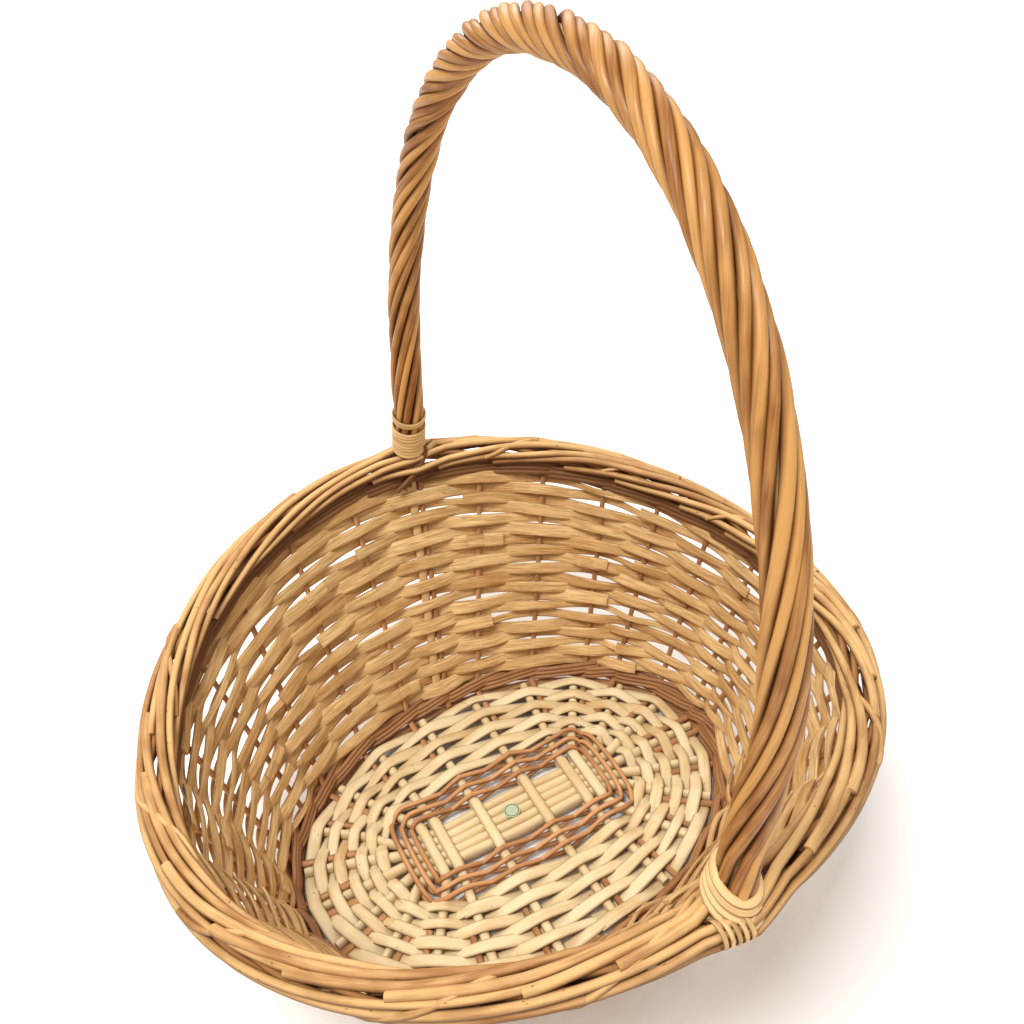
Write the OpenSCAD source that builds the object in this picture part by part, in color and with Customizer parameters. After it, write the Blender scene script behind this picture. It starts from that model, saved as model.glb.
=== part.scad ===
// Oval willow basket with a roped bow handle, as separate rods and sticks.
// +X runs along the floor's long sticks, +Y from one handle foot to the other, +Z up.
// The origin is on the ground under the middle of the rim. Millimetres.

/* [Rim] */
// Length over the border, along X
rim_length = 430; // [380:5:480]
// Width over the border, along Y
rim_width = 410; // [360:5:450]
// Height of the border's core at the two long ends
rim_end_z = 135; // [110:1:150]
// Height of the border's core at the two handle feet
rim_side_z = 167; // [140:1:190]

/* [Floor] */
// Length of the woven floor, along X
floor_length = 282; // [250:2:300]
// Width of the woven floor, along Y
floor_width = 206; // [180:2:220]
// Diameter of the long and cross sticks
stick_d = 6.4; // [5:0.2:6.8]
// Clearance between neighbouring long sticks
long_stick_gap = 0.4; // [0.3:0.1:1.2]
// Distance from the middle to the inner cross sticks
inner_cross_x = 16.4; // [14:0.2:24]
// Distance from the middle to the next cross sticks
outer_cross_x = 48; // [42:0.5:52]
// Centre distance of the paired cross sticks at each end
pair_pitch = 9.8; // [8:0.2:12]
// Offset of the floor's middle from the rim's middle, along X
floor_x = -5; // [-10:1:10]
// Offset of the floor's middle from the rim's middle, along Y
floor_y = 4; // [-10:1:10]
// Number of randed rounds outside the pairing
floor_rounds = 8; // [6:1:8]
// Width of a floor weaver
floor_weaver_w = 5.4; // [3:0.2:5.8]
// Clear height under the floor, inside the foot
foot_drop = 2; // [1:0.5:6]

/* [Wall] */
// Diameter of a side stake
stake_d = 4; // [3:0.2:4.6]
// Number of rounds of split willow in the wall
wall_rounds = 20; // [12:1:20]
// Largest width of a wall weaver
wall_weaver_w = 6.2; // [3:0.2:6.6]
// Thickness of all split weavers
weaver_t = 2; // [1.4:0.1:2.4]
// Diameter of the round waling rods
wale_d = 3.2; // [2.4:0.2:3.6]
// Clearance between neighbouring rods
gap = 0.15; // [0.1:0.05:0.3]

/* [Border] */
// Diameter of a border rod
border_rod_d = 5.2; // [4:0.1:6]
// Half width of the border to the middle of its outermost rod, in rod diameters
border_wide = 1.83; // [1.75:0.01:2.3]
// Half height of the border to the middle of its topmost rod, in rod diameters
border_tall = 1.445; // [1.35:0.01:1.75]

/* [Handle] */
// Height of the handle's core at the top of the bow
bow_top_z = 487; // [380:5:540]
// Height at which the bow starts to turn inwards
bow_shoulder_z = 242; // [215:1:300]
// Half width of the bow, to the middle of the handle
bow_half_w = 189; // [165:1:200]
// Offset of the far (+Y) handle foot from the middle of the rim, along X
far_foot_x = 27; // [0:1:40]
// Offset of the near (-Y) handle foot from the middle of the rim, along X
near_foot_x = 15; // [0:1:40]
// Offset of the top of the bow from the middle of the rim, along X
top_x = 59; // [0:1:70]
// Diameter of the bow's core rod
bow_d = 9.4; // [8:0.2:12]
// Diameter of the rods roped round the bow
rope_rod_d = 4.4; // [3:0.1:4.5]
// Number of turns the roping makes from foot to foot
rope_turns = 7; // [4:0.5:8]
// Diameter of the skein that binds each foot
skein_d = 2.4; // [1.6:0.2:3]
// Turns of skein on each foot
skein_turns = 8; // [5:1:10]

/* [Hidden] */
STICKS = 22;          // stick ends round the floor: five long sticks and six cross sticks
STAKES = 26;          // side stakes round the wall
LONG_STICKS = 5;
CROSS_STICKS = 6;
PAIRING_ROUNDS = 3;
UPSETT_ROUNDS = 2;
TOP_WALE_ROUNDS = 2;
ROPE_RODS = 8;
HANDLE_STAKES = [6, 19];   // the stakes that stand beside the bow's two legs
POLY = 6;             // sides of a round rod's section

stick_step = 360 / STICKS;
stake_step = 360 / STAKES;
stick_r = stick_d / 2;
stake_r = stake_d / 2;
wale_r = wale_d / 2;
rod_r = border_rod_d / 2;
bow_r = bow_d / 2;
rope_r = rope_rod_d / 2;
skein_r = skein_d / 2;

strip_h = 2.4;                                    // height of each half of a split cross stick
split_lift = stick_r + gap;                       // how far a half stands off the stick's middle
stick_z = foot_drop + split_lift + strip_h;       // height of the sticks' middle
over = stick_r + gap + weaver_t / 2;              // a weaver's middle above or below a stick
wall_over = stake_r + 2 * gap + weaver_t / 2;     // a weaver's middle inside or outside a stake
wale_over = stake_r + 2 * gap + wale_r;
foot_clear = 1.4;                                 // a stake's foot stands this far off its stick
foot_off = stick_r + stake_r + foot_clear;        // a stake's foot beside the middle of a stick
long_stick_pitch = stick_d + long_stick_gap;
slath_half_w = (LONG_STICKS - 1) / 2 * long_stick_pitch + stick_r;
fan_start = 5;                                    // the sticks fan out from this far outside the slath
slath_y = slath_half_w + fan_start;
slath_x = outer_cross_x + pair_pitch + stick_r + fan_start;
floor_a = floor_length / 2;
floor_b = floor_width / 2;
foot_w = 7;                                       // width of the foot ring
foot_h = stick_z - stake_r - gap;                 // the stakes' bends rest on the foot ring
foot_tuck = 1.5;                                  // the foot ring starts this far outside the floor
bend_out = foot_w / 2 + foot_tuck;                // stakes turn up this far outside the floor
border_half_w = border_wide * border_rod_d;       // the rods that lie round the core set its size
border_half_h = border_tall * border_rod_d;
core_a = rim_length / 2 - border_half_w - rod_r;
core_b = rim_width / 2 - border_half_w - rod_r;
upsett_pitch = wale_d + 3 * gap;
upsett_first = 3.5;                               // first upsett rod above the bend, along the stake
wall_low = upsett_first + UPSETT_ROUNDS * upsett_pitch;
wall_high = border_half_h + rod_r + TOP_WALE_ROUNDS * upsett_pitch;
pairing_share = 0.27;                             // share of the floor's radius that the pairing takes
full_stick_d = 6.4;                               // sticks thicker than this push the pairing inwards
pairing_in = min(1, full_stick_d / stick_d);
end_clear = 2.6;                                  // the pairing turns this far outside the long sticks
stick_clear = 0.5;                                // and this far outside a cross stick
foot_share = 0.55;                                // a stake's foot reaches in to this share of the radius
border_span = 5.75;                               // stake gaps that one border rod crosses
border_start = -35;                               // angle of a border rod's butt, on the outer side
border_sweep = 230;                               // angle it turns over the core
border_phase = 0.375;                             // no rod crosses the core's top at a bow leg
border_even = 3.4;                                // evens the rods' spacing round the oval section
leg_half_w = 2.4;                                 // half width of the bow's flat legs
leg_half_t = stake_r;                             // the legs are as thick as the stakes
leg_clear = 0.9;                                  // half the room between a leg and its stake
leg_off = (stake_r + leg_half_w) / 2 + leg_clear; // a leg and its stake stand this far each side
leg_corner = 0.2;                                 // weavers cut this much off the legs' rounded corners
unit_half_w = leg_off + leg_half_w - leg_corner;  // half width of a leg and its stake together
near_bend_h = 110;                                // height over which the near leg curves forwards
near_bend_power = 1.5;                            // how quickly that curve fades with height
post_clear = 1.5;                                 // the roping starts this far above the border
post_low = border_half_h + rod_r + post_clear;
post_spare = 4;                                   // the straight foot goes on this far above the skein
post_high = post_low + skein_turns * (skein_d + gap) + post_spare;
bow_power = 2.1;                                  // 2 makes the bow an ellipse, more squares it
leg_shares = [0.12, 0.5, 0.84];                   // heights of a leg's bends, as shares of its stake
rope_slope = 37;                                  // steepest slope of the roping along the bow
rope_gap = rope_rod_d / 8;                        // clearance between neighbouring roped rods
rope_side_r = ROPE_RODS * (rope_rod_d + rope_gap) / (2 * PI * cos(rope_slope));
rope_ring_r = max(bow_r + gap + rope_r, rope_side_r);    // the rods lie round the core side by side
rope_in = 1;                                      // room between the straight core and its rods
roped_r = max(bow_r, rope_ring_r - rope_r - rope_in);    // thicker rods need a thicker core
rope_relax = 0.12;                                // turns less at each foot than an even spiral
weaver_fill = 0.84;                               // share of a row that a wall weaver may fill
weaver_flat = 0.75;                               // share of a stick's width that a weaver lies flat on
foot_reach = 0.06;                                // weavers clear a stake's foot this far inside its end
bend_start = 0.97;                                // where a stake starts to turn up, as a share of its foot
bend_rise = 2;                                    // height up the wall at which a stake's bend ends
label_d = 11;
label_t = 0.3;
label_lift = 0.05;                                // the label lies this far off the long sticks
handle_clear = 0.5;                               // the border's rods clear the bow by this much
stake_in = 1;                                     // handle stakes start this far outside the floor

// ---- small vector helpers ----
function unit(v) = v / norm(v);
function mix(a, b, s) = a + s * (b - a);
function flip(list) = [for (i = [len(list) - 1:-1:0]) list[i]];
function oval(a, b, t, z) = [a * cos(t), b * sin(t), z];

// ---- sweeps: rings of points joined by triangles ----
// A ring's first axis crossed with its second points along the sweep.
function box_ring(c, u, v, w, t) = [
    c + u * w / 2 + v * t / 2, c - u * w / 2 + v * t / 2,
    c - u * w / 2 - v * t / 2, c + u * w / 2 - v * t / 2];
function round_ring(c, u, v, ru, rv, sides) = [
    for (j = [0:sides - 1]) c + u * ru * cos(360 * j / sides) + v * rv * sin(360 * j / sides)];
function side_axis(path, i, closed, hint) =
    let (n = len(path),
         before = closed ? path[(i + n - 1) % n] : path[max(i - 1, 0)],
         after = closed ? path[(i + 1) % n] : path[min(i + 1, n - 1)],
         along = unit(after - before))
    [along, unit(hint - (hint * along) * along)];

module loft(rings, closed = false) {
    n = len(rings);
    m = len(rings[0]);
    sides = [for (i = [0:n - (closed ? 1 : 2)]) for (j = [0:m - 1])
        let (here = i * m, next = (i + 1) % n * m, side = (j + 1) % m)
        each [[here + j, next + j, next + side], [here + j, next + side, here + side]]];
    caps = closed ? [] : [[for (j = [0:m - 1]) j], [for (j = [m - 1:-1:0]) (n - 1) * m + j]];
    polyhedron(points = [for (r = rings) each r], faces = concat(sides, caps));
}

module rod(path, r, sides = POLY, closed = false, hint = [0, 0, 1]) {
    loft([for (i = [0:len(path) - 1])
        let (f = side_axis(path, i, closed, hint), v = cross(f[0], f[1]))
        round_ring(path[i], f[1], v, r, r, sides)], closed);
}

// ---- the floor: sticks, pairing and randing ----
function cross_x(i) = floor_x + [-outer_cross_x - pair_pitch, -outer_cross_x, -inner_cross_x,
    inner_cross_x, outer_cross_x, outer_cross_x + pair_pitch][i];
function long_y(i) = floor_y + (i - (LONG_STICKS - 1) / 2) * long_stick_pitch;
function floor_oval(a, b, t) = oval(a, b, t, stick_z) + [floor_x, floor_y, 0];

// Stick end m counts round the floor from +X: where it leaves the slath, and where it ends.
function stick_start(m) =
    m <= 2 ? [floor_x + slath_x, long_y(m + 2), stick_z]
    : m <= 8 ? [cross_x(8 - m), floor_y + slath_y, stick_z]
    : m <= 13 ? [floor_x - slath_x, long_y(13 - m), stick_z]
    : m <= 19 ? [cross_x(m - 14), floor_y - slath_y, stick_z]
    : [floor_x + slath_x, long_y(m - 20), stick_z];
function stick_end(m) = floor_oval(floor_a, floor_b, m * stick_step);
function stick_at(m, share) = mix(stick_start(m), stick_end(m), share);
function stick_side(m) = let (d = unit(stick_end(m) - stick_start(m))) [-d[1], d[0], 0];

module long_stick(i) {
    near = i + 20 < STICKS ? i + 20 : i - 2;
    color("wheat")
    rod([stick_end(13 - i), stick_start(13 - i), stick_start(near), stick_end(near)], stick_r - gap, 8);
}

// A cross stick swells where it is pierced, and the long sticks pass through its slit.
module cross_stick(i) {
    far = stick_start(8 - i);
    near = stick_start(14 + i);
    slit_y = slath_half_w + gap;
    swell_y = slit_y + 1.5;
    stops = [[stick_end(8 - i), stick_r - gap], [far, stick_r - gap],
        [[cross_x(i), floor_y + swell_y, stick_z], split_lift + strip_h],
        [[cross_x(i), floor_y - swell_y, stick_z], split_lift + strip_h],
        [near, stick_r - gap], [stick_end(14 + i), stick_r - gap]];
    color("wheat") difference() {
        loft([for (s = stops) round_ring(s[0], [1, 0, 0], [0, 0, 1], stick_r - gap, s[1], 8)]);
        translate([cross_x(i) - stick_d, floor_y - slit_y, stick_z - split_lift])
            cube([2 * stick_d, 2 * slit_y, 2 * split_lift]);
    }
}

// The pairing goes round the long sticks as one bundle, and round the cross sticks.
function pairing_units(share) = concat(
    [[(stick_at(2, share) + stick_at(20, share)) / 2, 0]],
    [[(stick_at(3, share) + stick_at(4, share)) / 2, 90], [stick_at(5, share), 90],
     [stick_at(6, share), 90], [(stick_at(7, share) + stick_at(8, share)) / 2, 90]],
    [[(stick_at(9, share) + stick_at(13, share)) / 2, 180]],
    [[(stick_at(14, share) + stick_at(15, share)) / 2, 270], [stick_at(16, share), 270],
     [stick_at(17, share), 270], [(stick_at(18, share) + stick_at(19, share)) / 2, 270]]);
function bundle_half(u, share) =
    u % 5 == 0 ? stick_at(2, share)[1] - floor_y + stick_r + end_clear
    : u % 5 == 1 || u % 5 == 4 ? norm(stick_at(3, share) - stick_at(4, share)) / 2 + stick_r
    : stick_r + stick_clear;

module pairing_rod(i) {
    share = (i + 0.2) / PAIRING_ROUNDS * pairing_share * pairing_in;
    units = pairing_units(share);
    lift = stick_r + gap + wale_r;
    path = [for (u = [0:len(units) - 1])
        let (a = units[u][1], half = bundle_half(u, share), up = (u + i) % 2 == 0 ? 1 : -1)
        for (side = [-1, 1])
        units[u][0] + [-sin(a), cos(a), 0] * half * side + [0, 0, up * lift]];
    color("peru") rod(path, wale_r, POLY, true, [0, 0, 1]);
}

// A stake's foot lies beside the nearest stick; the two handle stakes stand between sticks.
function stake_t(k) = (k + 0.5) * stake_step;
function near_stick(k) = round(stake_t(k) / stick_step);
function foot_way(k) = sign(stake_t(k) - near_stick(k) * stick_step);
function is_handle(k) = k == HANDLE_STAKES[0] || k == HANDLE_STAKES[1];
function foot_beside(m, way) = len([for (k = [0:STAKES - 1])
    if (!is_handle(k) && near_stick(k) % STICKS == m && foot_way(k) == way) k]) > 0;
function foot_lift(m, share, way) =
    share > foot_share - foot_reach && foot_beside(m, way) ? foot_off + stake_r + gap - stick_r : 0;

module floor_weaver(i) {
    share = pairing_share + (i + 0.5) / floor_rounds * (1 - pairing_share);
    rings = [for (m = [0:STICKS - 1])
        let (p = stick_at(m, share), s = stick_side(m), out = [s[1], -s[0], 0],
             up = (m + i) % 2 == 0 ? 1 : -1)
        for (way = [-1, 1])
        let (beside = way * (stick_r * weaver_flat + foot_lift(m, share, way)))
        box_ring(p + s * beside + [0, 0, up * over], [0, 0, 1], out, weaver_t, floor_weaver_w)];
    color("cornsilk") loft(rings, true);
}

// ---- the wall: stakes, waling and weavers ----
// The stakes' tops lean with the bow, less on the near side than on the far side.
function rim_t(t) = t - asin(((sin(t) > 0 ? far_foot_x : near_foot_x) + leg_off) / core_a) * sin(t);
function rim_z(t) = (rim_end_z + rim_side_z) / 2 + (rim_end_z - rim_side_z) / 2 * cos(2 * t);
function core_at(t) = oval(core_a, core_b, rim_t(t), rim_z(rim_t(t)));
function foot_t(k) = is_handle(k) ? stake_t(k) : near_stick(k) * stick_step;
function foot_side(k) = is_handle(k) ? [leg_off, 0, 0]
    : stick_side(near_stick(k) % STICKS) * foot_way(k) * foot_off;
function bend_at(k) = floor_oval(floor_a + bend_out, floor_b + bend_out, foot_t(k)) + foot_side(k);
function top_at(k) = core_at(stake_t(k)) + (is_handle(k) ? [leg_off, 0, 0] : [0, 0, 0]);
function stake_length(k) = norm(top_at(k) - bend_at(k));
function stake_up(k) = unit(top_at(k) - bend_at(k));
function stake_along(k) = unit(top_at((k + 1) % STAKES) - top_at((k + STAKES - 1) % STAKES)
    + bend_at((k + 1) % STAKES) - bend_at((k + STAKES - 1) % STAKES));
function stake_out(k) = unit(cross(stake_along(k), stake_up(k)));
function unit_mid(k) = is_handle(k) ? [-leg_off, 0, 0] : [0, 0, 0];
function on_stake(k, height) = bend_at(k) + stake_up(k) * height;

module stake(k) {
    m = near_stick(k) % STICKS;
    inner = is_handle(k) ? floor_oval(floor_a + stake_in, floor_b + stake_in, foot_t(k)) + foot_side(k)
        : stick_at(m, foot_share) + foot_side(k);
    path = [inner, mix(inner, bend_at(k), bend_start), on_stake(k, bend_rise), top_at(k)];
    rod(path, stake_r, POLY, false, stake_along(k));
}

module side_stakes() {
    color("sienna") for (k = [0:STAKES - 1]) stake(k);
}

// One round in front of and behind the stakes: a list of [point, up, out, width] for each bend.
function wall_round(row_height, offset, inside) = [for (k = [0:STAKES - 1])
    let (out = stake_out(k), way = inside[k] ? -1 : 1,
         p = on_stake(k, row_height[k]) + unit_mid(k) + out * way * offset[k],
         half = is_handle(k) ? unit_half_w : 0,
         width = min(wall_weaver_w, weaver_fill * row_pitch(k)))
    for (side = half > 0 ? [-1, 1] : [0])
    [p + stake_along(k) * side * half, stake_up(k), out, width]];

function row_height(i) = [for (k = [0:STAKES - 1])
    mix(wall_low, stake_length(k) - wall_high, (i + 0.5) / wall_rounds)];
function row_pitch(k) = (stake_length(k) - wall_high - wall_low) / wall_rounds;

// Between stakes that stand close together a weaver runs steeply, so it keeps further off them.
function stake_room(k, height) = let (here = on_stake(k, height[k]), last = (k + STAKES - 1) % STAKES,
    next = (k + 1) % STAKES)
    min(norm(on_stake(next, height[next]) - here), norm(on_stake(last, height[last]) - here));
function weaver_off(height) = [for (k = [0:STAKES - 1])
    max(wall_over, (wall_over - gap) / cos(atan(2 * wall_over / stake_room(k, height))))];

module wall_weaver(i) {
    height = row_height(i);
    round = wall_round(height, weaver_off(height), [for (k = [0:STAKES - 1]) (k + i) % 2 == 0]);
    color("burlywood") loft([for (r = round) box_ring(r[0], r[1], r[2], r[3], weaver_t)], true);
}

module wale(height, i) {
    offset = [for (k = [0:STAKES - 1]) wale_over];
    round = wall_round(height, offset, [for (k = [0:STAKES - 1]) (k + i) % 3 == 0]);
    loft([for (r = round) round_ring(r[0], r[1], r[2], wale_r, wale_r, POLY)], true);
}

module upsett_wale(i) {
    color("peru") wale([for (k = [0:STAKES - 1]) upsett_first + (i + 0.5) * upsett_pitch], i);
}

module top_wale() {
    color("goldenrod") for (i = [0:TOP_WALE_ROUNDS - 1])
        wale([for (k = [0:STAKES - 1])
            stake_length(k) - border_half_h - rod_r - (i + 0.5) * upsett_pitch], i);
}

module foot_wale() {
    a = floor_a + bend_out;
    b = floor_b + bend_out;
    turns = [for (j = [0:4 * STAKES - 1]) stake_step * j / 4];
    color("peru") translate([floor_x, floor_y, 0]) linear_extrude(foot_h) difference() {
        polygon([for (t = turns) [(a + foot_w / 2) * cos(t), (b + foot_w / 2) * sin(t)]]);
        polygon([for (t = turns) [(a - foot_w / 2) * cos(t), (b - foot_w / 2) * sin(t)]]);
    }
}

// ---- the border: one rod from each stake gap, swept over a hollow core ----
function handle_gap(p) = let (d = min([for (h = HANDLE_STAKES)
    min(abs(p - h), abs(p - h - STAKES), abs(p - h + STAKES))])) max(0, 1 - 2 * d) * (roped_r + handle_clear);
function border_point(p, turn) =
    let (t = (p + 0.5) * stake_step, c = core_at(t), r = rim_t(t),
         out = unit([core_b * cos(r), core_a * sin(r), 0]),
         even = turn + border_even * sin(2 * turn),
         h = border_half_w * cos(even), way = h >= 0 ? 1 : -1)
    c + out * (h + way * handle_gap(p)) + [0, 0, border_half_h * sin(even)];

module border_rod(i) {
    first = i + border_phase;
    stops = concat([first], [for (q = [0.5:0.5:border_span - 0.2]) i + q], [first + border_span]);
    path = [for (p = stops) border_point(p, border_start + border_sweep * (p - first) / border_span)];
    rod(path, rod_r, POLY, false, [0, 0, 1]);
}

module border_rods() {
    color("goldenrod") for (i = [0:STAKES - 1]) border_rod(i);
}

// ---- the handle: a bow let into the wall, roped with rods and bound at the feet ----
// The near leg starts further back than the far one and curves up into the same leaning plane.
function near_bend(z) = max(0, 1 - (z - rim_side_z) / near_bend_h);
function bow_x(z, side) = mix(far_foot_x, top_x, (z - rim_side_z) / (bow_top_z - rim_side_z))
    - (side < 0 ? (far_foot_x - near_foot_x) * pow(near_bend(z), near_bend_power) : 0);
function handle_stake(side) = HANDLE_STAKES[side > 0 ? 0 : 1];
function bow_leg(side) = let (k = handle_stake(side))
    [for (s = leg_shares) on_stake(k, stake_length(k) * s) - [2 * leg_off, 0, 0]];
function bow_post(side) = let (k = handle_stake(side), c = top_at(k) - [2 * leg_off, 0, 0])
    [for (z = [0, post_low, post_high])
        let (s = z / post_high, x = mix(c[0], bow_x(c[2] + post_high, side), s))
        [x, mix(c[1], side * bow_half_w, s), c[2] + z]];
arch_steps = 28;
bow_arch = [for (j = [0:arch_steps])
    let (a = 180 * j / arch_steps, c = cos(a), s = sin(a),
         z = bow_shoulder_z + (bow_top_z - bow_shoulder_z) * pow(abs(s), 2 / bow_power))
    [bow_x(z, c), bow_half_w * sign(c) * pow(abs(c), 2 / bow_power), z]];
bow_path = concat(bow_leg(1), bow_post(1), bow_arch, flip(bow_post(-1)), flip(bow_leg(-1)));

module handle_bow() {
    n = len(bow_path);
    function share(i) = min(i, n - 1 - i);
    half_w = [leg_half_w / 2, leg_half_w, leg_half_w, leg_half_w, roped_r];
    half_t = [leg_half_t / 2, leg_half_t, leg_half_t, leg_half_t, roped_r];
    color("burlywood") loft([for (i = [0:n - 1])
        let (f = side_axis(bow_path, i, false, [1, 0, 0]), v = cross(f[0], f[1]), s = min(share(i), 4))
        round_ring(bow_path[i], f[1], v, half_w[s], half_t[s], 8)]);
}

// The roped part of the bow, sampled evenly by share s from the +Y foot to the -Y foot.
roped = concat([bow_post(1)[1], bow_post(1)[2]], bow_arch, [bow_post(-1)[2], bow_post(-1)[1]]);
function run_to(i) = i == 0 ? 0 : run_to(i - 1) + norm(roped[i] - roped[i - 1]);
roped_run = [for (i = [0:len(roped) - 1]) run_to(i)];
roped_length = roped_run[len(roped_run) - 1];
function roped_at(s) = let (d = s * roped_length,
    i = min(len(roped) - 2, max([for (j = [0:len(roped) - 1]) if (roped_run[j] <= d) j])))
    mix(roped[i], roped[i + 1], (d - roped_run[i]) / (roped_run[i + 1] - roped_run[i]));
function rope_turn(s) = 360 * rope_turns * (s - rope_relax * sin(360 * s));

module rope_rod(i) {
    steps = ceil(rope_turns * 12);
    base = [for (j = [0:steps]) roped_at(j / steps)];
    path = [for (j = [0:steps])
        let (f = side_axis(base, j, false, [1, 0, 0]), v = cross(f[0], f[1]),
             a = rope_turn(j / steps) + 360 * i / ROPE_RODS)
        base[j] + (f[1] * cos(a) + v * sin(a)) * rope_ring_r];
    color("goldenrod") rod(path, rope_r, 5, false, [1, 0.02, 0.03]);
}

module binding(side) {
    foot = bow_post(side)[1];
    d = unit(bow_post(side)[2] - foot);
    translate(foot) rotate([0, acos(d[2]), atan2(d[1], d[0])])
        for (j = [0:skein_turns - 1])
            translate([0, 0, skein_d + j * (skein_d + gap)])
                rotate_extrude($fn = 48)
                    translate([rope_ring_r + rope_r + gap + skein_r, 0]) circle(skein_r, $fn = 24);
}

module paper_label() {
    color("lightyellow")
    translate([floor_x, floor_y, stick_z + stick_r - gap + label_lift])
        cylinder(d = label_d, h = label_t, $fn = 64);
}

for (i = [0:LONG_STICKS - 1])
    long_stick(i);
for (i = [0:CROSS_STICKS - 1])
    cross_stick(i);
for (i = [0:PAIRING_ROUNDS - 1])
    pairing_rod(i);
for (i = [0:floor_rounds - 1])
    floor_weaver(i);
foot_wale();
for (i = [0:UPSETT_ROUNDS - 1])
    upsett_wale(i);
side_stakes();
for (i = [0:wall_rounds - 1])
    wall_weaver(i);
top_wale();
border_rods();
handle_bow();
for (i = [0:ROPE_RODS - 1])
    rope_rod(i);
color("wheat") binding(1);  // handle_binding_far
color("wheat") binding(-1);  // handle_binding_near
paper_label();
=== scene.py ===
import math
import random

import bmesh
import bpy
from mathutils import Matrix, Vector, noise


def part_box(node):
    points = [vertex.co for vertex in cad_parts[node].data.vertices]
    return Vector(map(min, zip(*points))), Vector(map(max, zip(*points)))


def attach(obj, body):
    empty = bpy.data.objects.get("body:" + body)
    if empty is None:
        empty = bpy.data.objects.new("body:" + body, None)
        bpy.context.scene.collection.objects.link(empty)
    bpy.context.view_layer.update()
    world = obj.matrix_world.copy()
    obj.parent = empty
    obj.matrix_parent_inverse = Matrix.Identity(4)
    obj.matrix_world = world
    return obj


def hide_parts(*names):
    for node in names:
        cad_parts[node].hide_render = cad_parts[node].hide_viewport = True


bl_info = {
    "name": "Willow Egg Basket",
    "version": (1, 0, 0),
    "blender": (4, 5, 0),
    "location": "View3D > Sidebar > Basket",
    "description": "Weaves an oval willow basket with a roped bow handle round its CAD frame",
    "category": "Object",
}

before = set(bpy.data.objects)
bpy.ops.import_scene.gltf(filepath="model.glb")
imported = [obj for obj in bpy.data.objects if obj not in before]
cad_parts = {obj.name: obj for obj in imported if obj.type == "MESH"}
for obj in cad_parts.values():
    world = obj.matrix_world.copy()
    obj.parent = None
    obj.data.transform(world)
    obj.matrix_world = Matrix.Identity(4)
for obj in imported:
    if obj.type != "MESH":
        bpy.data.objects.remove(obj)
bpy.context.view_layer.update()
MM = 0.001

# ---- counts of the real pieces ----
STICKS = 22
STAKES = 26
LONG_STICKS = 5
CROSS_STICKS = 6
PAIRING_ROUNDS = 3
FLOOR_ROUNDS = 8
UPSETT_ROUNDS = 3
WALL_ROUNDS = 20
TOP_WALE_ROUNDS = 3
WALE_RODS = 3
FOOT_RODS = 4
FRAME_ROPE_RODS = 8
HANDLE_STAKES = (6, 19)

# ---- places, from the frame ----
foot_low, foot_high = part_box("foot_wale")
rim_low, rim_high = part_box("border_rods")
long_low, long_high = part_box("base_long_stick_3")
cross_low, cross_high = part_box("base_cross_stick_4")
label_low, label_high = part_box("paper_label")

FOOT_BAND = 7 * MM
FLOOR_EDGE = 5 * MM
ROD_RADIUS = 2.6 * MM
BORDER_HALF_W = 9.5 * MM
BORDER_HALF_H = 7.5 * MM
BOW_RADIUS = 4.7 * MM
STICK_RADIUS = 3.2 * MM
STAKE_RADIUS = 2.0 * MM
LONG_PITCH = 6.8 * MM
FLOOR_MIDDLE = Vector(((foot_low.x + foot_high.x) / 2, (foot_low.y + foot_high.y) / 2, 0))
BEND_A = (foot_high.x - foot_low.x - FOOT_BAND) / 2
BEND_B = (foot_high.y - foot_low.y - FOOT_BAND) / 2
FLOOR_A = BEND_A - FLOOR_EDGE
FLOOR_B = BEND_B - FLOOR_EDGE
STICK_Z = (long_low.z + long_high.z) / 2
CORE_A = (rim_high.x - rim_low.x) / 2 - BORDER_HALF_W - ROD_RADIUS
CORE_B = (rim_high.y - rim_low.y) / 2 - BORDER_HALF_W - ROD_RADIUS
RIM_SIDE_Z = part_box("side_stakes")[1].z
RIM_DIP = 32 * MM
RIM_END_Z = RIM_SIDE_Z - RIM_DIP
INNER_CROSS = (cross_low.x + cross_high.x) / 2 - FLOOR_MIDDLE.x
OUTER_CROSS = 48 * MM
PAIR_PITCH = 9.8 * MM
SLATH_HALF_W = 2 * LONG_PITCH + STICK_RADIUS
FAN_START = 5 * MM
SLATH_X = OUTER_CROSS + PAIR_PITCH + STICK_RADIUS + FAN_START
SLATH_Y = SLATH_HALF_W + FAN_START
SPLIT_LIFT = STICK_RADIUS + 0.15 * MM
PAIRING_SHARE = 0.27
FOOT_SHARE = 0.55
FOOT_CLEAR = 1.4 * MM
FOOT_OFF = STICK_RADIUS + STAKE_RADIUS + FOOT_CLEAR
STICK_STEP = math.tau / STICKS
STAKE_STEP = math.tau / STAKES
FAR_FOOT_X = 27 * MM
NEAR_FOOT_X = 15 * MM
NEAR_BEND_H = 110 * MM
TOP_X = 59 * MM
BOW_TOP_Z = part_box("handle_bow")[1].z - BOW_RADIUS
BOW_SHOULDER_Z = 242 * MM
BOW_HALF_W = 189 * MM
BOW_POWER = 2.1
LEG_SIDE = -3.1 * MM
NEAR_BEND_POWER = 1.5
POST_LOW = BORDER_HALF_H + ROD_RADIUS + 1.5 * MM
POST_HIGH = POST_LOW + 24.4 * MM
LEG_SHARES = (0.06, 0.3, 0.6, 0.86)
HANDLE_CLEAR = 0.5 * MM
UPSETT_FIRST = 2.7 * MM
UPSETT_PITCH = 2.9 * MM
TOP_WALE_PITCH = 3.1 * MM
WALL_LOW = 10.8 * MM
WALL_HIGH = 15.4 * MM
Z_AXIS = Vector((0, 0, 1))
X_AXIS = Vector((1, 0, 0))


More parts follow.
